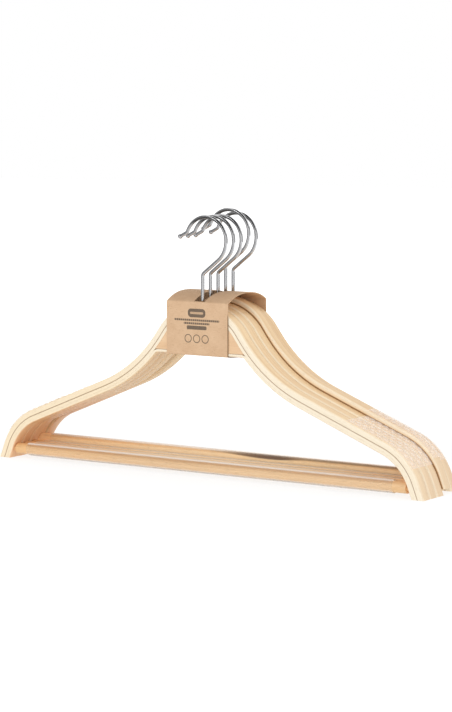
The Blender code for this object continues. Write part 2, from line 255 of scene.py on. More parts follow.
bpy.ops.mesh.primitive_plane_add(size=12.0, location=(0.0, 0.0, -0.0003))
floor = bpy.context.object
floor.name = "floor"
paint, tree = bare_finish("floor_white")
distance = add_node(tree, "ShaderNodeVectorMath", {"operation": "LENGTH"}, [place_in(tree)],
                    output="Value")
glow = FLOOR_GLOW + seen_by_camera(tree) * (GLOW_SEEN + distance.clipped(0.25, 0.8) * GLOW_FAR)
grey = (FLOOR_GREY, FLOOR_GREY, FLOOR_GREY, 1.0)
matt = add_node(tree, "ShaderNodeBsdfDiffuse", {}, {"Color": grey})
shine = add_node(tree, "ShaderNodeEmission", {}, {"Strength": glow})
show(add_node(tree, "ShaderNodeAddShader", {}, [matt, shine]))
floor.data.materials.append(paint)
print("room level", ROOM_LEVEL, "floor", list(floor.dimensions))

# %% [markdown]
# Bright metal has no colour of its own and only shows what stands round it. These cards are seen
# in mirrors alone. Pale ones stand low, where the upright shanks mirror them, and dark ones
# stand high, where the crowns of the hooks do, so each stretch of wire gets its own grey.

# %% Cards
HOOKS_MIDDLE = (0.0, 0.0, 0.19)


def add_card(name, place, size, grey, target=HOOKS_MIDDLE):
    """A card that only mirrors show."""
    bpy.ops.mesh.primitive_plane_add(size=1.0, location=place)
    card = bpy.context.object
    card.name = name
    card.scale = (*size, 1.0)
    card.rotation_euler = (Vector(target) - Vector(place)).to_track_quat("Z", "Y").to_euler()
    card.visible_camera = False
    card.visible_diffuse = False
    card.visible_shadow = False
    paint, tree = bare_finish(name)
    show(add_node(tree, "ShaderNodeEmission", {}, {"Color": (grey, grey, grey, 1.0)}))
    card.data.materials.append(paint)


add_card("card_camera", (0.70, -1.04, 0.26), (2.3, 0.66), 0.80)
add_card("card_camera_above", (0.51, -0.76, 1.11), (2.4, 1.3), 0.08)
add_card("card_low", (0.42, -0.62, 0.005), (1.2, 0.9), 0.60, (0.42, -0.62, 1.0))
add_card("card_low_left", (-0.45, -0.60, 0.004), (1.2, 0.9), 0.10, (-0.45, -0.60, 1.0))
add_card("card_front_left", (-0.72, -0.98, 0.30), (1.1, 0.75), 0.36)
add_card("card_left", (-1.25, -0.28, 0.30), (1.0, 0.75), 0.25)
add_card("card_front_right", (1.20, 0.10, 0.30), (0.9, 0.75), 0.50)
add_card("card_right", (0.85, 0.95, 0.30), (1.0, 0.75), 0.25)
add_card("card_above", (0.25, -0.05, 1.7), (1.5, 1.5), 0.02)
add_card("card_left_above", (-1.06, -0.38, 0.80), (2.0, 1.1), 0.25)

# %% [markdown]
# A hanger's arm is one bent line: a round neck, a hollow, a straight shoulder and a round tip.
# These are the sizes that the exact model has too, so each finer piece lands on its twin. The
# line is the glue line under the thick upper ply, and slopes are measured below the horizontal.

# %% Sizes of the arm
HANGERS, MIDDLE_HANGER, RAISED_HANGER = 5, 3, 4
GAP = 0.0003
DEPTH = 0.0118
PITCH = DEPTH + GAP
LIFTS = (0.0, 0.0, 0.0, 0.0050, 0.0015)
RAISED_LIFT = LIFTS[RAISED_HANGER - 1]
NECK_RADIUS, NECK_SLOPE, FLANK = 0.0475, 54.0, 0.0080
HOLLOW_RADIUS, SHOULDER_SLOPE, SHOULDER = 0.1386, 22.0, 0.0895
TIP_RADIUS, TIP_SLOPE, TIP, TIP_WASTE = 0.0515, 69.0, 0.0130, 0.0200
UPPER_PLY, ARCH_PLY, BOTTOM_PLY = 0.0054, 0.0025, 0.0025
BRIDGE_DROP, FORK_RADIUS = 0.0364, 0.0080

ARM = [("bend", NECK_RADIUS, NECK_SLOPE), ("run", FLANK), ("bend", -HOLLOW_RADIUS, SHOULDER_SLOPE),
       ("run", SHOULDER), ("bend", TIP_RADIUS, TIP_SLOPE), ("run", TIP)]


def outside_of(x, z, slope, distance):
    """The point (x, z) that is outside a point of a line by a distance, square to its slope."""
    turn = radians(slope)
    return x + distance * sin(turn), z + distance * cos(turn)


def walk_line(x, z, slope, moves, step=1.0):
    """Points (x, z, slope, length so far) along a line of runs and bends."""
    line = [(x, z, slope, 0.0)]
    for kind, size, *to_slope in moves:
        x, z, slope, length = line[-1]
        if kind == "run":
            turn = radians(slope)
            line.append((x + size * cos(turn), z - size * sin(turn), slope, length + size))
            continue
        steps = max(2, round(abs(to_slope[0] - slope) / step))
        centre = outside_of(x, z, slope, -size)
        for part in range(1, steps + 1):
            angle = slope + (to_slope[0] - slope) * part / steps
            swept = abs(size) * radians(abs(angle - slope))
            line.append((*outside_of(*centre, angle, size), angle, length + swept))
    return line


NECK_TOP = -walk_line(0.0, 0.0, 0.0, ARM)[-1][1]
WOOD_TOP = NECK_TOP + UPPER_PLY
BRIDGE_HEIGHT = NECK_TOP - BRIDGE_DROP
arm_line = walk_line(0.0, NECK_TOP, 0.0, ARM)
print("neck top", round(NECK_TOP, 5), "tip", [round(value, 5) for value in arm_line[-1]])

# %% [markdown]
# The bottom ply follows the arms only up to the fork. There it bends away and runs straight
# across under the block, so its line starts level, and its slope at the fork comes from the
# circle of the hollow that it has to meet.

# %% Line of the bottom ply
neck_end = walk_line(0.0, NECK_TOP, 0.0, ARM[:2])[-1]
hollow_x, hollow_z = outside_of(*neck_end[:3], HOLLOW_RADIUS)
REACH = HOLLOW_RADIUS + ARCH_PLY + 2 * GAP
FORK_SLOPE = degrees(acos((hollow_z + FORK_RADIUS - BRIDGE_HEIGHT) / (REACH + FORK_RADIUS)))
FORK_X = hollow_x - (REACH + FORK_RADIUS) * sin(radians(FORK_SLOPE))
BRIDGE = [("run", FORK_X), ("bend", FORK_RADIUS, FORK_SLOPE), ("bend", -REACH, SHOULDER_SLOPE),
          ("run", SHOULDER), ("bend", TIP_RADIUS - ARCH_PLY - 2 * GAP, TIP_SLOPE), ("run", TIP)]
print("fork at", round(FORK_X, 4), "slope", round(FORK_SLOPE, 1))

# %% [markdown]
# A ply is glued up flat and bent in a mould, and it can be made that way here. A small upright
# plane is the ply's cut end. Its corners are rounded, and it is then pushed along the straight
# stretches and spun round the bends, which leaves the ply behind it. Each tip is made too long
# and sawn off level with the floor, and the other half is a mirror image. TOUCH is how near a
# point has to be to a plane to count as on it, and points nearer than WELD become one.

# %% Pick points and round corners
TOUCH, WELD = 1e-6, 1e-5


def measured(piece):
    """The sizes of a piece, short enough to print."""
    return [round(side, 4) for side in piece.dimensions]


def pick(test, kind="verts"):
    """In edit mode, select only what passes a test of its place."""
    mesh = bmesh.from_edit_mesh(bpy.context.object.data)
    bpy.ops.mesh.select_all(action="DESELECT")
    chosen = 0
    for part in getattr(mesh, kind):
        place = part.co if kind == "verts" else part.calc_center_median()
        if test(place):
            part.select_set(True)
            chosen += 1
    mesh.select_flush_mode()
    bmesh.update_edit_mesh(bpy.context.object.data)
    return chosen


def round_corners(test, radius, segments):
    """Round the corners of a flat face that pass a test."""
    pick(test)
    bpy.ops.mesh.bevel(offset=radius, offset_type="OFFSET", segments=segments, affect="VERTICES")


# %% Push and spin a section
def sweep(x, z, slope, moves, step=3.0):
    """Push and spin the selected face along a line in X and Z."""
    for kind, size, *to_slope in moves:
        if kind == "run":
            turn = radians(slope)
            ahead = (size * cos(turn), 0.0, -size * sin(turn))
            bpy.ops.mesh.extrude_region_move(TRANSFORM_OT_translate={"value": ahead})
            x, z = x + ahead[0], z + ahead[2]
            continue
        centre = outside_of(x, z, slope, -size)
        steps = max(2, round(abs(to_slope[0] - slope) / step))
        bpy.ops.mesh.spin(steps=steps, angle=radians(to_slope[0] - slope),
                          center=(centre[0], 0.0, centre[1]), axis=(0.0, -1.0, 0.0))
        slope = to_slope[0]
        x, z = outside_of(*centre, slope, size)


def start_section(name, x, z, slope, low, high, depth):
    """A plane across the line, from low to high outside it, left in edit mode."""
    bpy.ops.object.select_all(action="DESELECT")
    x, z = outside_of(x, z, slope, (low + high) / 2)
    bpy.ops.mesh.primitive_plane_add(size=1.0, location=(x, 0.0, z),
                                     rotation=(0.0, pi / 2 + radians(slope), 0.0))
    piece = bpy.context.object
    piece.name = piece.data.name = name
    piece.scale = (high - low, depth, 1.0)
    bpy.ops.object.transform_apply()
    bpy.ops.object.mode_set(mode="EDIT")
    return piece


# %% Cut, mirror and finish
def choose(piece):
    """Select one piece alone and make it the active one."""
    bpy.ops.object.select_all(action="DESELECT")
    piece.select_set(True)
    bpy.context.view_layer.objects.active = piece


def apply_modifier(piece, kind, **settings):
    """Add a modifier, set it and apply it."""
    choose(piece)
    modifier = piece.modifiers.new(kind.title(), kind)
    for name, value in settings.items():
        setattr(modifier, name, value)
    bpy.ops.object.modifier_apply(modifier=modifier.name)


def fuse(piece, other):
    """Make one solid of a piece and another, which goes."""
    apply_modifier(piece, "BOOLEAN", operation="UNION", object=other)
    bpy.data.objects.remove(other, do_unlink=True)


def finish_mesh(piece, smooth=30.0):
    """Merge doubles, turn the faces outwards and shade the bends smooth."""
    choose(piece)
    bpy.ops.object.mode_set(mode="EDIT")
    bpy.ops.mesh.select_all(action="SELECT")
    bpy.ops.mesh.remove_doubles(threshold=WELD)
    bpy.ops.mesh.normals_make_consistent(inside=False)
    bpy.ops.object.mode_set(mode="OBJECT")
    bpy.ops.object.shade_smooth_by_angle(angle=radians(smooth))


def cut_level(height):
    """In edit mode, cut off what is below a height and close the cut."""
    bpy.ops.mesh.select_all(action="SELECT")
    bpy.ops.mesh.bisect(plane_co=(0.0, 0.0, height), plane_no=(0.0, 0.0, 1.0), use_fill=True,
                        clear_inner=True)


def mirror_half(piece):
    """Open a piece at the middle plane, add its mirror image and finish the mesh."""
    pick(lambda place: place.x < TOUCH, "faces")
    bpy.ops.mesh.delete(type="FACE")
    bpy.ops.object.mode_set(mode="OBJECT")
    apply_modifier(piece, "MIRROR", use_axis=(True, False, False), merge_threshold=WELD)
    finish_mesh(piece)


# %% Bend the plies
FINE_ROUND = 0.0002


def bend_ply(name, moves, z, outside, thickness, top_round, bottom_round):
    """A ply from tip to tip whose outer face is outside the line by a distance."""
    low, high = z + outside - thickness, z + outside
    piece = start_section(name, 0.0, z, 0.0, outside - thickness, outside, DEPTH)
    round_corners(lambda place: place.z > high - TOUCH, top_round, 3)
    segments = 3 if bottom_round > FINE_ROUND else 1
    round_corners(lambda place: place.z < low + TOUCH, bottom_round, segments)
    bpy.ops.mesh.select_all(action="SELECT")
    sweep(0.0, z, 0.0, moves[:-1] + [("run", TIP + TIP_WASTE)])
    cut_level(0.0)
    mirror_half(piece)
    return piece


upper = bend_ply("upper", ARM, NECK_TOP, UPPER_PLY, UPPER_PLY, 0.0012, 0.0003)
arch = bend_ply("arch", ARM, NECK_TOP, -GAP / 2, ARCH_PLY + 1.3 * GAP, 0.0002, 0.00003)
bottom = bend_ply("bottom", BRIDGE, BRIDGE_HEIGHT, 0.0, BOTTOM_PLY, 0.00003, 0.0009)
for piece in (upper, arch, bottom):
    print(piece.name, measured(piece))

# %% [markdown]
# The block fills the neck between the arch ply and the straight bottom ply. It is cut as a
# joiner would: a thick blank is bent like the plies, and its lower part is sawn off level.

# %% Centre block
BLANK, BLANK_SLOPE, BLOCK_INSET = 0.0400, 44.0, 0.0002
block_top = -GAP - ARCH_PLY - GAP
block = start_section("block", 0.0, NECK_TOP, 0.0, block_top - BLANK, block_top,
                      DEPTH - BLOCK_INSET)
bpy.ops.mesh.select_all(action="SELECT")
sweep(0.0, NECK_TOP, 0.0, [*ARM[:2], ("bend", -HOLLOW_RADIUS, BLANK_SLOPE)])
cut_level(BRIDGE_HEIGHT + GAP)
mirror_half(block)
print("block", measured(block))

# %% [markdown]
# Wood grain runs along a ply, round its bends. The mesh keeps for each point how far along the
# arm it is, how far from the ply's middle plane, and how far outside the glue line, and the
# wood's recipe reads those numbers instead of plain coordinates. A fourth number says how far
# each point of the raised hanger is above the top of the hanger in front of it.

# %% Grain coordinates
STATIONS = np.array(walk_line(0.0, NECK_TOP, 0.0, ARM[:-1] + [("run", TIP + TIP_WASTE)], step=0.5))


def keep_grain(piece):
    """Store on each point (along, across, outside), and its height over the hanger in front."""
    places = np.array([point.co for point in piece.data.vertices])
    offset = np.stack([np.abs(places[:, 0]), places[:, 2]], 1)[:, None, :] - STATIONS[None, :, :2]
    turn = np.radians(STATIONS[:, 2])
    ahead = offset[:, :, 0] * np.cos(turn) - offset[:, :, 1] * np.sin(turn)
    nearest = np.argmin((offset ** 2).sum(2), 1)
    rows = np.arange(len(places))
    slope = turn[nearest]
    near = offset[rows, nearest]
    outside = near[:, 0] * np.sin(slope) + near[:, 1] * np.cos(slope)
    along = (STATIONS[nearest, 3] + ahead[rows, nearest]) * np.sign(places[:, 0])
    layer = piece.data.attributes.new("grain", "FLOAT_VECTOR", "POINT")
    layer.data.foreach_set("vector", np.stack([along, places[:, 1], outside], 1).ravel())
    layer = piece.data.attributes.new("step", "FLOAT", "POINT")
    layer.data.foreach_set("value", outside - UPPER_PLY + RAISED_LIFT * np.cos(slope))


for piece in (upper, arch, bottom, block):
    keep_grain(piece)
    print(piece.name, "points", len(piece.data.vertices))

# %% [markdown]
# The five hangers are alike, so each piece is modelled once and copied front to back. A copy
# gets a mesh of its own, moved in the mesh, so that its object stays at the origin. The sleeve
# holds the fourth and the fifth hanger a few millimetres higher than the rest.

# %% Hand the pieces to the hangers
def hanger_place(number):
    """The foot of a hanger's middle plane; hanger 1 is at the front."""
    return Vector((0.0, (number - MIDDLE_HANGER) * PITCH, LIFTS[number - 1]))


def settle(piece, name, body, node):
    """Name a finished piece, tie it to its body and let it stand for its node."""
    piece.name = piece.data.name = name
    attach(piece, body)
    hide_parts(node)


def twin_of(model, move):
    """A copy of a model with a mesh of its own, moved in the mesh."""
    twin = model.copy()
    twin.data = model.data.copy()
    twin.data.transform(move)
    bpy.context.scene.collection.objects.link(twin)
    return twin


def copy_for(model, number):
    """A copy of a model for one hanger."""
    return twin_of(model, Matrix.Translation(hanger_place(number)))


def hand_out(model, node):
    """Copies of a model for all five hangers; the model itself goes."""
    for number in range(1, HANGERS + 1):
        twin = copy_for(model, number)
        settle(twin, f"{node}_{number}_shaped", "bundle", f"{node}_{number}")
    bpy.data.objects.remove(model, do_unlink=True)
    print(node, "for", HANGERS, "hangers")


# %% [markdown]
# Copies of one piece shouldn't have one pattern, and a few marks belong to one hanger alone. The
# hangers stand a fixed pitch apart, so a recipe can tell them apart by Y. Wood also needs noise
# that is drawn out along its grain, which is plain noise in a space squeezed that way.

# %% Places for a recipe to read
def hanger_of(y):
    """Which hanger a point is in, counted from the middle one: -2 at the front, 2 at the back."""
    return (y / PITCH + 0.5).math("FLOOR")


def in_hanger(hanger, number):
    """1 in the hanger of that number, 0 in the others."""
    return hanger.math("COMPARE", number - MIDDLE_HANGER, 0.1)


def grain_of(tree):
    """How far a point is along the arm, from its middle plane and outside the glue line."""
    kept = add_node(tree, "ShaderNodeAttribute", {"attribute_name": "grain"}, {}, "Vector")
    return parts_of(kept)


def facing(tree):
    """The three values of the direction that the surface faces."""
    return parts_of(add_node(tree, "ShaderNodeNewGeometry", {}, {}, "Normal"))


def drawn_noise(places, scales, detail, shift=0.0, roughness=0.55):
    """Noise drawn out along the grain: its scale is smaller along it than across it."""
    first, second, third = [place * scale for place, scale in zip(places, scales)]
    return noise(vector(first + shift, second, third), 1.0, detail, roughness)


def pores_in(places, along, across):
    """1 in short fine pores, 0 between them."""
    return drawn_noise(places, (along, across, across), 1.0).clipped(0.62, 0.74)


# %% [markdown]
# The plies are pale birch under clear lacquer. The broad faces are a warm tan with fine streaks
# and short pores along the grain, and the sanded cut edges are almost cream. A painted highlight
# widens the pale edge along the front of each top face. Painted shade makes the undersides
# browner towards the tips, the left edges are a little yellower, and painted shade darkens the
# foot of the step in front of the raised hanger with a brown tint and a dark line.

# %% Ply wood
HALF_DEPTH = DEPTH / 2
wood, tree, shader = new_finish("ply_wood", Specular_IOR_Level=0.3, Coat_Weight=0.06,
                                Coat_Roughness=0.25)
along, _, outside = grain_of(tree)
y = parts_of(place_in(tree))[1]
hanger = hanger_of(y)
across = y - hanger * PITCH
grain = (along, across, outside)
tone = drawn_noise(grain, (9.0, 420.0, 420.0), 4.0, hanger * 3.7) * 0.6
tone = tone + drawn_noise(grain, (3.0, 70.0, 70.0), 2.0, hanger * 5.1) * 0.4
pores = pores_in(grain, 160.0, 2400.0)
low = outside.clipped(-0.0035, -0.0045)
from_neck = along.math("ABSOLUTE")
face = mix_colours(tone.clipped(0.3, 0.7), (0.76, 0.51, 0.28), (0.92, 0.70, 0.43))
face = mix_colours(from_neck.clipped(0.215, 0.240) * 0.4, face, (0.93, 0.76, 0.58))
# Painted shade: the undersides are tinted browner towards the tips.
face = tinted(low * from_neck.clipped(0.12, 0.20) * 0.9, face, (1.0, 0.80, 0.66))
edge_tone = drawn_noise(grain, (25.0, 200.0, 2600.0), 2.0)
edge = mix_colours(edge_tone, (0.92, 0.78, 0.57), (0.99, 0.90, 0.74))
edge = tinted(along.clipped(-0.03, -0.15), edge, (1.0, 0.95, 0.87))

# %% Cut edges, glue lines and the foot of the step
beside = across.math("ABSOLUTE")
rim = beside.clipped(HALF_DEPTH - 0.0012, HALF_DEPTH - 0.0005)
under = low * beside.clipped(HALF_DEPTH, HALF_DEPTH - 0.0002)
over = outside.clipped(UPPER_PLY - 0.0008, UPPER_PLY - 0.0002)
# The cream rim is the cut edges' own colour; on the top face a painted highlight widens it along
# the front and leaves it out at the back.
painted_front_highlight = (across * -1.0).clipped(HALF_DEPTH - 0.0030, HALF_DEPTH - 0.0008)
rim = rim * (1.0 - under * 0.7) * (1.0 - over) + painted_front_highlight * over * 0.6
colour = mix_colours(rim, face, edge)

step = add_node(tree, "ShaderNodeAttribute", {"attribute_name": "step"}, {}, "Fac")
# Painted shade at the foot of the step: a brown tint and a dark line on the raised hanger's front.
front = across.clipped(-HALF_DEPTH + 0.0010, -HALF_DEPTH + 0.0002)
front = front * in_hanger(hanger, RAISED_HANGER) * outside.clipped(0.0, 0.0001)
colour = tinted(front * step.clipped(0.0030, 0.0004) * 0.8, colour, (1.0, 0.84, 0.66))
painted_crease_shade = front * step.clipped(0.0012, 0.0005) * 0.85
# The glue lines are the wood's own dark joints; they share their dark brown with the painted shade.
glue = outside.math("ABSOLUTE").clipped(0.0006, 0.0003) * 0.5
colour = mix_colours(pores * 0.35, colour, (0.50, 0.30, 0.15))
colour = mix_colours(glue.math("MAXIMUM", painted_crease_shade), colour, (0.30, 0.13, 0.03))
feed(shader, Base_Color=colour, Roughness=0.36 + tone * 0.14,
     Normal=bumped(tone - pores * 0.5, 0.00012, 0.5))
print("ply wood", len(tree.nodes), "nodes")

# %% Block wood
filler, tree, shader = new_finish("block_wood", Specular_IOR_Level=0.3, Coat_Weight=0.05,
                                  Coat_Roughness=0.3)
here = parts_of(place_in(tree))
rings = drawn_noise(here, (14.0, 260.0, 260.0), 4.0)
pores = pores_in(here, 150.0, 2200.0)
colour = mix_colours(rings, (0.74, 0.46, 0.25), (0.92, 0.66, 0.42))
colour = mix_colours(pores * 0.4, colour, (0.45, 0.26, 0.13))
feed(shader, Base_Color=colour, Roughness=0.42 + rings * 0.15,
     Normal=bumped(rings - pores * 0.5, 0.0001, 0.5))
print("block wood", len(tree.nodes), "nodes")

# %% Give the plies and blocks out
for model, finish in ((upper, wood), (arch, wood), (bottom, wood), (block, filler)):
    model.data.materials.append(finish)
hand_out(upper, "upper_ply")
hand_out(arch, "arch_ply")
hand_out(bottom, "bottom_ply")
hand_out(block, "centre_block")

# %% [markdown]
# The hook is one wire with a head under the block's bush. It starts as a short cylinder, the
# head, whose top is inset to the wire's width and drawn up. Spins make the knee, the bowl and
# the small flare, and a ball is fused to its end.

# %% Hooks
WIRE, SHANK_HEAD, HEAD_HEIGHT, BALL, BOWL = 0.0034, 0.0070, 0.0020, 0.0046, 0.0210
BUSH_COVER, BUSH_HEIGHT, SHANK_RISE = 0.0100, 0.0080, 0.0243
FOOT = NECK_TOP - ARCH_PLY - 3 * GAP - BUSH_COVER - BUSH_HEIGHT - GAP - HEAD_HEIGHT
KNEE = WOOD_TOP + SHANK_RISE
HOOK = [("bend", 0.0040, -38.0), ("run", 0.0189), ("bend", -BOWL, -248.0),
        ("bend", 0.0030, -207.0), ("run", 0.0072)]
print("foot at", round(FOOT, 4), "knee at", round(KNEE, 4))


def bend_hook():
    """The wire hook, in its hanger's middle plane."""
    bpy.ops.object.select_all(action="DESELECT")
    bpy.ops.mesh.primitive_cylinder_add(vertices=20, radius=SHANK_HEAD / 2, depth=HEAD_HEIGHT,
                                        location=(0.0, 0.0, FOOT + HEAD_HEIGHT / 2))
    hook = bpy.context.object
    bpy.ops.object.transform_apply()
    bpy.ops.object.mode_set(mode="EDIT")
    pick(lambda place: place.z > FOOT + HEAD_HEIGHT - TOUCH, "faces")
    bpy.ops.mesh.inset(thickness=(SHANK_HEAD - WIRE) / 2)
    rise = KNEE - FOOT - HEAD_HEIGHT
    bpy.ops.mesh.extrude_region_move(TRANSFORM_OT_translate={"value": (0.0, 0.0, rise)})
    sweep(0.0, KNEE, -90.0, HOOK, step=6.0)
    bpy.ops.object.mode_set(mode="OBJECT")
    end = walk_line(0.0, KNEE, -90.0, HOOK)[-1]
    bpy.ops.mesh.primitive_uv_sphere_add(segments=20, ring_count=12, radius=BALL / 2,
                                         location=(end[0], 0.0, end[1]))
    fuse(hook, bpy.context.object)
    finish_mesh(hook, 35.0)
    return hook


# %% [markdown]
# The wire is steel under bright plating. Such metal is all mirror: a pale grey that is metal
# all through, with faint marks in its gloss. The inside of each crown is painted almost black, a
# painted dark reflection, and its place is found from the middle of the bowl.

# %% Plated wire and bush steel
bowl_start = walk_line(0.0, KNEE, -90.0, HOOK[:2])[-1]
bowl_x, bowl_z = outside_of(*bowl_start[:3], BOWL)
chrome, tree, shader = new_finish("plated_wire", Metallic=1.0, Roughness=0.1)
here = place_in(tree)
x, y, z = parts_of(here)
hanger = hanger_of(y)
for number, lift in enumerate(LIFTS, 1):
    if lift:
        z = z - in_hanger(hanger, number) * lift
away = ((x - bowl_x).math("POWER", 2.0) + (z - bowl_z).math("POWER", 2.0)).math("SQRT")
# Painted dark reflection inside each crown, which is also a little rougher there.
painted_dark_crown = away.clipped(BOWL + 0.0006, BOWL - 0.0006) * z.clipped(bowl_z + 0.012, bowl_z + 0.017)
marks = noise(here, 900.0, 3.0)
clouds = noise(here, 60.0, 2.0)
colour = mix_colours(clouds, (0.60, 0.60, 0.61), (0.72, 0.72, 0.73))
colour = mix_colours(painted_dark_crown * 0.85, colour, (0.03, 0.03, 0.03))
feed(shader, Base_Color=colour, Roughness=0.06 + marks * 0.10 + painted_dark_crown * 0.1,
     Normal=bumped(marks, 0.00001, 0.3))
print("plated wire", len(tree.nodes), "nodes, bowl at", round(bowl_x, 4), round(bowl_z, 4))

steel, tree, shader = new_finish("bush_steel", Metallic=1.0, Roughness=0.35)
marks = noise(place_in(tree), 700.0, 3.0)
feed(shader, Base_Color=mix_colours(marks, (0.45, 0.45, 0.46), (0.62, 0.62, 0.63)),
     Roughness=0.28 + marks * 0.2)

# %% Give the hooks out
model = bend_hook()
model.data.materials.append(chrome)
print("hook", measured(model))
for number in range(1, HANGERS + 1):
    hook = copy_for(model, number)
    settle(hook, f"hook_{number}_shaped", f"hook_body_{number}", f"hook_{number}")
    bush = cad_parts[f"hook_bush_{number}"]
    bush.data.materials.clear()
    bush.data.materials.append(steel)
bpy.data.objects.remove(model, do_unlink=True)

# %% [markdown]
# The trouser rod is turned from one dowel. A cylinder gives the dowel, its ends are inset and
# drawn out into the tenons that sit in the arms, and the shoulders are slightly broken.

# %% Rods
ROD, ROD_HEIGHT, TENON, BROKEN_EDGE = 0.0102, 0.0090, 0.0060, 0.0004
ROUND_SIDES = 48


def x_at_height(line, outside, height):
    """Where a line, moved outside by a distance, comes down to a height."""
    points = [outside_of(x, z, slope, outside) for x, z, slope, _ in line]
    for (x_high, z_high), (x_low, z_low) in zip(points, points[1:]):
        if z_high >= height > z_low:
            return x_high + (x_low - x_high) * (z_high - height) / (z_high - z_low)
    return points[-1][0]


bridge_line = walk_line(0.0, BRIDGE_HEIGHT, 0.0, BRIDGE)
ROD_END = x_at_height(arm_line, 0.0, ROD_HEIGHT + TENON / 2) - GAP
ROD_SHOULDER = x_at_height(bridge_line, -BOTTOM_PLY, ROD_HEIGHT + ROD / 2) - GAP

bpy.ops.object.select_all(action="DESELECT")
bpy.ops.mesh.primitive_cylinder_add(vertices=ROUND_SIDES, radius=ROD / 2, depth=2 * ROD_SHOULDER,
                                    location=(0.0, 0.0, ROD_HEIGHT), rotation=(0.0, pi / 2, 0.0))
rod = bpy.context.object
bpy.ops.object.transform_apply()
bpy.ops.object.mode_set(mode="EDIT")
pick(lambda place: abs(place.x) > ROD_SHOULDER - TOUCH, "faces")
bpy.ops.mesh.bevel(offset=BROKEN_EDGE, segments=2, affect="EDGES")
for side in (-1, 1):
    pick(lambda place: place.x * side > ROD_SHOULDER - TOUCH, "faces")
    bpy.ops.mesh.inset(thickness=(ROD - TENON) / 2 - BROKEN_EDGE)
    bpy.ops.mesh.extrude_region_move(
        TRANSFORM_OT_translate={"value": (side * (ROD_END - ROD_SHOULDER), 0.0, 0.0)})
bpy.ops.object.mode_set(mode="OBJECT")
finish_mesh(rod)
print("rod", measured(rod))

# %% [markdown]
# A clear soft tube is drawn over each rod, so trousers don't slide, and stops short of the
# arms. It is an open cylinder that Solidify gives its wall.

# %% Tubes
TUBE_WALL, TUBE_MARGIN = 0.0005, 0.0130
TUBE_HALF = ROD_SHOULDER - TUBE_MARGIN
bpy.ops.mesh.primitive_cylinder_add(vertices=ROUND_SIDES, radius=ROD / 2 + GAP, depth=2 * TUBE_HALF,
                                    end_fill_type="NOTHING", location=(0.0, 0.0, ROD_HEIGHT),
                                    rotation=(0.0, pi / 2, 0.0))
tube = bpy.context.object
bpy.ops.object.transform_apply()
finish_mesh(tube)
apply_modifier(tube, "SOLIDIFY", thickness=TUBE_WALL, offset=1.0)
bpy.ops.object.shade_smooth_by_angle(angle=radians(30))
print("tube", measured(tube))

# %% [markdown]
# The rods are browner than the plies, with lines and pores along X. They are most orange at the
# left and on their bare ends. The inner ones are painted paler, painted light where their
# neighbours shade them, and a band of painted shade runs under the tube's bright line. The raised
# rod has a painted dark reflection in a wedge along its top, and a faint glow stands for the light
# that its neighbours throw back at it.

# %% Rod wood
dowel, tree, shader = new_finish("rod_wood", Specular_IOR_Level=0.3, Coat_Weight=0.1,
                                 Coat_Roughness=0.2, Emission_Strength=0.12)
here = parts_of(place_in(tree))
x, y, z = here
hanger = hanger_of(y)
# Painted light: the inner rods, which their neighbours shade, are made paler.
inner = hanger.math("COMPARE", 0.0, 1.1)
tone = drawn_noise(here, (7.0, 520.0, 520.0), 4.0) * 0.65
tone = tone + drawn_noise(here, (9.0, 60.0, 60.0), 2.0) * 0.35 + inner * 0.3
pores = pores_in(here, 130.0, 2200.0)
colour = mix_colours(tone, (0.74, 0.48, 0.25), (0.97, 0.74, 0.47))
colour = mix_colours(inner * 0.4, colour, (1.0, 0.84, 0.60))
colour = mix_colours(pores * 0.4, colour, (0.40, 0.22, 0.10))
colour = tinted(x.clipped(-0.05, -0.15) * 0.9, colour, (1.0, 0.92, 0.80))
# Painted shade: a darker band just under the tube's bright line.
upright = facing(tree)[2]
painted_shade_band = upright.clipped(0.40, 0.60) * upright.clipped(0.82, 0.72)
colour = tinted(painted_shade_band * 0.5, colour, (0.86, 0.82, 0.78))
bare = x.math("ABSOLUTE").clipped(TUBE_HALF - 0.001, TUBE_HALF + 0.001)
colour = tinted(bare * 0.6, colour, (1.0, 0.86, 0.70))

# %% Painted dark reflection and glow of the raised rod
raised = in_hanger(hanger, RAISED_HANGER)
wedge = x.clipped(-0.005, 0.045) * x.clipped(0.090, 0.055)
height = z - ROD_HEIGHT - RAISED_LIFT + wedge * 0.0018
front = (y - hanger * PITCH).clipped(0.0014, 0.0004)
# Painted dark reflection: a near-black wedge along the top of the raised rod.
painted_dark_reflection = height.clipped(0.0030, 0.0042) * x.clipped(-0.03, 0.02)
painted_dark_reflection = painted_dark_reflection * raised * (0.65 + wedge * 0.25) * front
colour = mix_colours(painted_dark_reflection, colour, (0.10, 0.055, 0.05))
lit = raised * (1.0 - painted_dark_reflection) * (1.0 - x.clipped(0.0, 0.1) * 0.7)
lit = mix_colours(lit, (0.0, 0.0, 0.0), (1.0, 0.70, 0.42))
feed(shader, Base_Color=colour, Roughness=0.34 + tone * 0.14, Emission_Color=lit,
     Normal=bumped(tone - pores * 0.5, 0.0001, 0.5))
print("rod wood", len(tree.nodes), "nodes")

# %% [markdown]
# Clear plastic is seen by what it mirrors. Its recipe lets light straight through and adds a
# sharp shine that grows towards the outline, as it does on any smooth film. A share of plain
# white is added along the top and the underside as a painted highlight and a painted reflection
# of the room and the floor. The inner tubes and the right half of the raised one are duller.

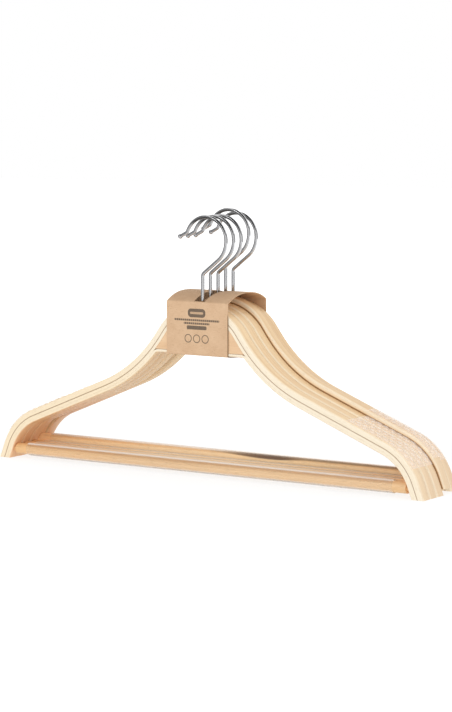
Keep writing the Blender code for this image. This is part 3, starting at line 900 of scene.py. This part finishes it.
# %% Clear tube
film, tree = bare_finish("clear_tube")
bend = bumped(noise(place_in(tree), 120.0, 2.0), 0.0002, 0.3)
through = add_node(tree, "ShaderNodeBsdfTransparent", {}, {"Color": (1.0, 0.98, 0.95, 1.0)})
gloss = add_node(tree, "ShaderNodeBsdfGlossy", {}, {"Color": (0.85, 0.85, 0.85, 1.0),
                                                    "Roughness": 0.08, "Normal": bend})
sheen_white = add_node(tree, "ShaderNodeBsdfDiffuse", {}, {"Color": (0.98, 0.93, 0.88, 1.0)})
outline = add_node(tree, "ShaderNodeLayerWeight", {}, {"Blend": 0.5, "Normal": bend}, "Facing")
x, y, _ = parts_of(place_in(tree))
hanger = hanger_of(y)
second_or_third = hanger.math("COMPARE", -0.5, 0.6)
right_half = in_hanger(hanger, RAISED_HANGER) * x.clipped(-0.03, 0.03)
dull = (second_or_third * 0.7).math("MAXIMUM", right_half * 0.8)
upright = facing(tree)[2]
# Painted highlight on the top and painted reflection of the floor underneath, as a share of plain
# white.
painted_sheen = upright.clipped(0.78, 0.93) * 0.6 + upright.clipped(-0.45, -0.80) * 0.3
shine = (0.03 + outline.math("POWER", 4.0) * 0.4) * (1.0 - dull)
clear = add_node(tree, "ShaderNodeMixShader", {}, [shine, through, gloss])
show(add_node(tree, "ShaderNodeMixShader", {}, [(0.04 + painted_sheen) * (1.0 - dull), clear, sheen_white]))
print("clear tube", len(tree.nodes), "nodes")

# %% Give the rods and tubes out
rod.data.materials.append(dowel)
tube.data.materials.append(film)
hand_out(rod, "trouser_rod")
hand_out(tube, "rod_tube")

# %% [markdown]
# The shoulder pads are clear soft plastic, a thin sheet bent over the wood with two staggered
# rows of round nubs. One nub is a flattened sphere with its underside cut off. It is copied
# along the pad's line, turned with the slope, and fused to the sheet.

# %% Pads
PAD_DEPTH, PAD_RUN, PAD_THICKNESS, PAD_END_SLOPE = 0.0108, 0.0413, 0.0012, 56.0
SHEET, NUB, NUB_PITCH, NUB_ROW, NUB_FOOT = 0.0004, 0.0046, 0.0070, 0.0025, 0.0001
shoulder_end = walk_line(0.0, NECK_TOP, 0.0, ARM[:4])[-1]
turn = radians(SHOULDER_SLOPE)
pad_start = (shoulder_end[0] - PAD_RUN * cos(turn), shoulder_end[1] + PAD_RUN * sin(turn))
PAD_MOVES = [("run", PAD_RUN), ("bend", TIP_RADIUS, PAD_END_SLOPE)]
pad_line = walk_line(*pad_start, SHOULDER_SLOPE, PAD_MOVES, step=0.5)
seat = UPPER_PLY + GAP

pad = start_section("pad", *pad_start, SHOULDER_SLOPE, seat, seat + SHEET, PAD_DEPTH)
round_corners(lambda place: True, 0.00015, 1)
bpy.ops.mesh.select_all(action="SELECT")
sweep(*pad_start, SHOULDER_SLOPE, PAD_MOVES)
bpy.ops.object.mode_set(mode="OBJECT")
finish_mesh(pad)
print("pad sheet", round(pad_line[-1][3], 4), "long")

# %% One nub
bpy.ops.mesh.primitive_uv_sphere_add(segments=14, ring_count=8, radius=1.0)
nub = bpy.context.object
nub.scale = (NUB / 2, NUB / 2, PAD_THICKNESS - SHEET)
bpy.ops.object.transform_apply(location=False, rotation=False, scale=True)
bpy.ops.object.mode_set(mode="EDIT")
cut_level(-NUB_FOOT)
bpy.ops.object.mode_set(mode="OBJECT")
finish_mesh(nub, 60.0)
print("nub", measured(nub))

# %% Rows of nubs
def station_at(line, length):
    """The point and slope at a length along a line."""
    for (x, z, slope, start), (x_next, z_next, slope_next, stop) in zip(line, line[1:]):
        if start <= length <= stop:
            share = (length - start) / (stop - start)
            return (x + (x_next - x) * share, z + (z_next - z) * share,
                    slope + (slope_next - slope) * share)
    return line[-1][:3]


pad_length = pad_line[-1][3]
nubs = []
count = int((pad_length - NUB) / (NUB_PITCH / 2))
margin = (pad_length - (count - 1) * NUB_PITCH / 2) / 2
for number in range(count):
    x, z, slope = station_at(pad_line, margin + number * NUB_PITCH / 2)
    x, z = outside_of(x, z, slope, seat + SHEET)
    place = Vector((x, NUB_ROW if number % 2 else -NUB_ROW, z))
    turned = Matrix.Rotation(radians(slope), 4, "Y")
    nubs.append(twin_of(nub, Matrix.Translation(place) @ turned))
bpy.data.objects.remove(nub, do_unlink=True)
bpy.ops.object.select_all(action="DESELECT")
for twin in nubs:
    twin.select_set(True)
bpy.context.view_layer.objects.active = nubs[0]
bpy.ops.object.join()
fuse(pad, nubs[0])
finish_mesh(pad, 50.0)
print("pad", len(pad.data.polygons), "faces,", count, "nubs")

# %% [markdown]
# The pads are milky where the plastic is thick. A Principled shader that is partly see-through
# gives the haze, and it is more solid on the nubs, where the distance from the wood is larger.
# A faint glow stands for the light that runs about inside the plastic.

# %% Clear pad
gel, tree, shader = new_finish("clear_pad", Roughness=0.5, IOR=1.45, Emission_Strength=0.1,
                               Emission_Color=(1.0, 0.88, 0.76, 1.0))
keep_grain(pad)
high = grain_of(tree)[2].clipped(seat + SHEET, seat + SHEET + 0.0005)
cloud = noise(place_in(tree), 260.0, 2.0)
colour = mix_colours(cloud, (0.90, 0.84, 0.79), (0.98, 0.94, 0.90))
feed(shader, Base_Color=colour, Alpha=0.14 + high * 0.16 + cloud * 0.1,
     Normal=bumped(cloud, 0.0001, 0.3))
pad.data.materials.append(gel)
other = twin_of(pad, Matrix.Diagonal((-1.0, 1.0, 1.0, 1.0)))
finish_mesh(other, 50.0)
hand_out(pad, "pad_right")
hand_out(other, "pad_left")
print("clear pad", len(tree.nodes), "nodes")

# %% [markdown]
# The sleeve is one strip of kraft card, folded round all the necks, with its ends glued over
# each other underneath and a slot for the hooks. It starts here as the flat strip too. The slot
# is cut out of it, and every point is then carried to the place that the folds give it.

# %% Sleeve
PAPER, SLEEVE_WIDTH, SLEEVE_SHIFT = 0.0005, 0.0650, -0.0015
FRONT_ROOM, BACK_ROOM = 0.0016, 0.0008
FRONT_FOLD = WOOD_TOP + FRONT_ROOM
BACK_FOLD = WOOD_TOP + LIFTS[-1] + BACK_ROOM
SLEEVE_RISE, SLEEVE_ROUNDING, SLEEVE_SAG = 0.0076, 2.4, 0.0016
LAP, LAP_START, LAP_SLOPE, LAP_GLUE = 0.0080, 0.0040, 0.0100, 0.00012
SLOT_WIDTH, SLOT_SETBACK, SLOT_BACK = 0.0120, 0.0012, 0.0030
HALF = (HANGERS * DEPTH + (HANGERS - 1) * GAP) / 2 + GAP
UNDER = BRIDGE_HEIGHT - BOTTOM_PLY - GAP


def dome_height(y):
    """Height of the card's inner face over the hangers."""
    share = (y + HALF) / (2 * HALF)
    rise = SLEEVE_RISE * (1 - abs(2 * share - 1) ** SLEEVE_ROUNDING)
    return FRONT_FOLD + (BACK_FOLD - FRONT_FOLD) * share + rise


def belly_height(y, lap=0.0):
    """Height of the card's inner face under them, lower where the ends lap."""
    return UNDER - SLEEVE_SAG * (1 - (y / HALF) ** 2) - lap


section = [(y, belly_height(y)) for y in np.linspace(LAP, -HALF, 40)]
section += [(-HALF, z) for z in np.linspace(UNDER, FRONT_FOLD, 30)[1:]]
dome_first = len(section) - 1
section += [(y, dome_height(y)) for y in np.linspace(-HALF, HALF, 80)[1:]]
dome_last = len(section) - 1
section += [(HALF, z) for z in np.linspace(BACK_FOLD, UNDER, 30)[1:]]
for y in np.linspace(HALF, -LAP, 60)[1:]:
    share = min(1.0, max(0.0, (HALF - LAP_START - y) / LAP_SLOPE))
    drop = (PAPER + LAP_GLUE) * share * share * (3 - 2 * share)
    section.append((y, belly_height(y, drop)))
section = np.array(section)
steps = np.hypot(*np.diff(section, axis=0).T)
reached = np.concatenate([[0.0], np.cumsum(steps)])
LENGTH = reached[-1]
print("flat strip", SLEEVE_WIDTH, "by", round(LENGTH, 4))

# %% Cut the strip
ROW_HEIGHT = 0.0008
rows = round(LENGTH / ROW_HEIGHT)
bpy.ops.object.select_all(action="DESELECT")
bpy.ops.mesh.primitive_grid_add(x_subdivisions=24, y_subdivisions=rows, size=1.0,
                                location=(SLEEVE_SHIFT, LENGTH / 2, 0.0))
sleeve = bpy.context.object
sleeve.scale = (SLEEVE_WIDTH, LENGTH, 1.0)
bpy.ops.object.transform_apply()
bpy.ops.object.mode_set(mode="EDIT")
slot_from = reached[dome_first] + SLOT_SETBACK
slot_to = reached[dome_last] - SLOT_BACK
for place, normal in (((-SLOT_WIDTH / 2, 0, 0), (1, 0, 0)), ((SLOT_WIDTH / 2, 0, 0), (1, 0, 0)),
                      ((0, slot_from, 0), (0, 1, 0)), ((0, slot_to, 0), (0, 1, 0))):
    bpy.ops.mesh.select_all(action="SELECT")
    bpy.ops.mesh.bisect(plane_co=place, plane_no=normal)
pick(lambda place: abs(place.x) < SLOT_WIDTH / 2 and slot_from < place.y < slot_to, "faces")
bpy.ops.mesh.delete(type="FACE")
bpy.ops.object.mode_set(mode="OBJECT")
print("slot", SLOT_WIDTH, "by", round(slot_to - slot_from, 4))

# %% Fold the strip
FOLD = 0.0011
for point in sleeve.data.vertices:
    along = point.co.y
    near = np.linspace(along - FOLD, along + FOLD, 9)
    y = np.interp(near, reached, section[:, 0]).mean()
    z = np.interp(near, reached, section[:, 1]).mean()
    if along < FOLD or along > LENGTH - FOLD:
        y = np.interp(along, reached, section[:, 0])
        z = np.interp(along, reached, section[:, 1])
    point.co = (point.co.x, y, z)
finish_mesh(sleeve)
crown = max(sleeve.data.polygons, key=lambda face: face.center.z)
if crown.normal.z < 0:
    sleeve.data.flip_normals()
print("folded", measured(sleeve))

# %% Turn the slot's tabs down
TAB, TAB_CLEARANCE, TAB_BESIDE = 0.0055, 0.0004, 0.0006
ABOVE_FOLD, SLACK = 0.0005, 0.0010


def wood_under(y):
    """The lowest that a tab may reach, just over the hanger that it hangs above."""
    number = min(HANGERS, max(1, round(y / PITCH) + MIDDLE_HANGER))
    near = [LIFTS[other - 1] for other in (number - 1, number, number + 1)
            if 1 <= other <= HANGERS and abs(y - hanger_place(other).y) < HALF_DEPTH + TAB_BESIDE]
    return WOOD_TOP + max(near) + TAB_CLEARANCE


bpy.ops.object.mode_set(mode="EDIT")
tabs = pick(lambda place: abs(abs(place.x) - SLOT_WIDTH / 2) < TOUCH
            and place.z > FRONT_FOLD + ABOVE_FOLD
            and -HALF + SLOT_SETBACK - SLACK < place.y < HALF - SLOT_BACK + SLACK)
mesh = bmesh.from_edit_mesh(sleeve.data)
for edge in mesh.edges:
    level = abs(edge.verts[0].co.x - edge.verts[1].co.x) < TOUCH
    on_side = all(abs(abs(point.co.x) - SLOT_WIDTH / 2) < TOUCH for point in edge.verts)
    edge.select_set(edge.is_boundary and level and on_side)
bmesh.update_edit_mesh(sleeve.data)
bpy.ops.mesh.extrude_region_move(TRANSFORM_OT_translate={"value": (0.0, 0.0, -TAB)})
mesh = bmesh.from_edit_mesh(sleeve.data)
for point in mesh.verts:
    if point.select:
        point.co.z = max(point.co.z, wood_under(point.co.y))
bmesh.update_edit_mesh(sleeve.data)
bpy.ops.object.mode_set(mode="OBJECT")
print("tab points", tabs)
apply_modifier(sleeve, "SOLIDIFY", thickness=PAPER, offset=1.0)
bpy.ops.object.shade_smooth_by_angle(angle=radians(40))
print("sleeve", measured(sleeve))

# %% [markdown]
# Kraft card is brown, matt and full of fibres, with darker flecks. Painted shade makes it browner
# on top and darkest on the tabs inside the slot, and a painted shadow draws a dark line down its
# right edge.

# %% Kraft card
kraft, tree, shader = new_finish("kraft_paper", Roughness=0.85)
here = place_in(tree)
x, y, z = parts_of(here)
fibres = drawn_noise((x, y, z), (260.0, 900.0, 900.0), 4.0, roughness=0.7)
clouds = noise(here, 90.0, 3.0)
flecks = drawn_noise((x, y, z), (500.0, 1500.0, 1500.0), 1.0).clipped(0.66, 0.74)
colour = mix_colours(fibres * 0.5 + clouds * 0.5, (0.55, 0.33, 0.18), (0.84, 0.60, 0.39))
colour = mix_colours(flecks * 0.35, colour, (0.30, 0.16, 0.08))
sideways, _, upwards = facing(tree)
# Painted shade: the card is made browner where it faces up.
colour = mix_colours(upwards.clipped(0.3, 1.0) * 0.3, colour, (0.16, 0.07, 0.02))
# Painted shadow: a dark line along the right edge of the front, where the card meets the wood.
side = (x - SLEEVE_SHIFT).clipped(SLEEVE_WIDTH / 2 - 0.0009, SLEEVE_WIDTH / 2 - 0.0004)
side = side * z.clipped(0.148, 0.143)
colour = mix_colours(side * 0.7, colour, (0.16, 0.08, 0.03))
# Painted shade: the tabs inside the slot are made darkest.
tab = x.math("ABSOLUTE").clipped(SLOT_WIDTH / 2 + 0.002, SLOT_WIDTH / 2 + 0.001)
tab = tab * sideways.math("ABSOLUTE").clipped(0.5, 0.8)
colour = mix_colours(tab * 0.7, colour, (0.10, 0.05, 0.02))
print("kraft card", len(tree.nodes), "nodes")

# %% [markdown]
# The front of the card carries a plain print in one dark brown: a bar with a slit, two dashed
# rules, a small bar and three rings. Each is a mask made from the place on the card, so no
# picture is needed.

# %% Masks of the print
DASH_PITCH, DASH_SHARE, SOFT = 0.0021, 0.85, 0.0001


def inside_bar(middle, half_width, half_height, corner):
    """1 inside a bar with round corners on the front, 0 outside."""
    off_x = ((x - middle[0]).math("ABSOLUTE") - (half_width - corner)).math("MAXIMUM", 0.0)
    off_z = ((z - middle[1]).math("ABSOLUTE") - (half_height - corner)).math("MAXIMUM", 0.0)
    away = (off_x * off_x + off_z * off_z).math("SQRT")
    return away.clipped(corner + SOFT, corner - SOFT)


def inside_ring(middle, radius, width):
    """1 on a ring on the front, 0 elsewhere."""
    off_x = x - middle[0]
    off_z = z - middle[1]
    away = ((off_x * off_x + off_z * off_z).math("SQRT") - radius).math("ABSOLUTE")
    return away.clipped(width / 2 + SOFT, width / 2 - SOFT)


# %% Print
PRINT_X = -0.0020
ink = inside_bar((PRINT_X, 0.1458), 0.0093, 0.0038, 0.0032)
ink = ink - inside_bar((PRINT_X, 0.1458), 0.0070, 0.0010, 0.0010) * 0.8
dashes = (x / DASH_PITCH).math("FRACT").clipped(DASH_SHARE + 0.05, DASH_SHARE - 0.05)
for height, half_width in ((0.1395, 0.0238), (0.1366, 0.0136)):
    rule = inside_bar((PRINT_X, height), half_width, 0.0009, 0.0004) * dashes
    ink = ink.math("MAXIMUM", rule)
ink = ink.math("MAXIMUM", inside_bar((PRINT_X, 0.1329), 0.0105, 0.0017, 0.0012))
for offset in (-0.0090, 0.0, 0.0090):
    ink = ink.math("MAXIMUM", inside_ring((PRINT_X + offset, 0.1232), 0.0034, 0.0008))
ink = ink * (y + HALF).clipped(0.0002, -0.0002)
colour = mix_colours(ink * (0.75 + fibres * 0.25), colour, (0.10, 0.075, 0.055))
feed(shader, Base_Color=colour, Roughness=0.78 + fibres * 0.2,
     Normal=bumped(fibres * 0.6 + clouds * 0.4, 0.00015, 0.6))
sleeve.data.materials.append(kraft)
settle(sleeve, "paper_sleeve_folded", "bundle", "paper_sleeve")
print("printed card", len(tree.nodes), "nodes")
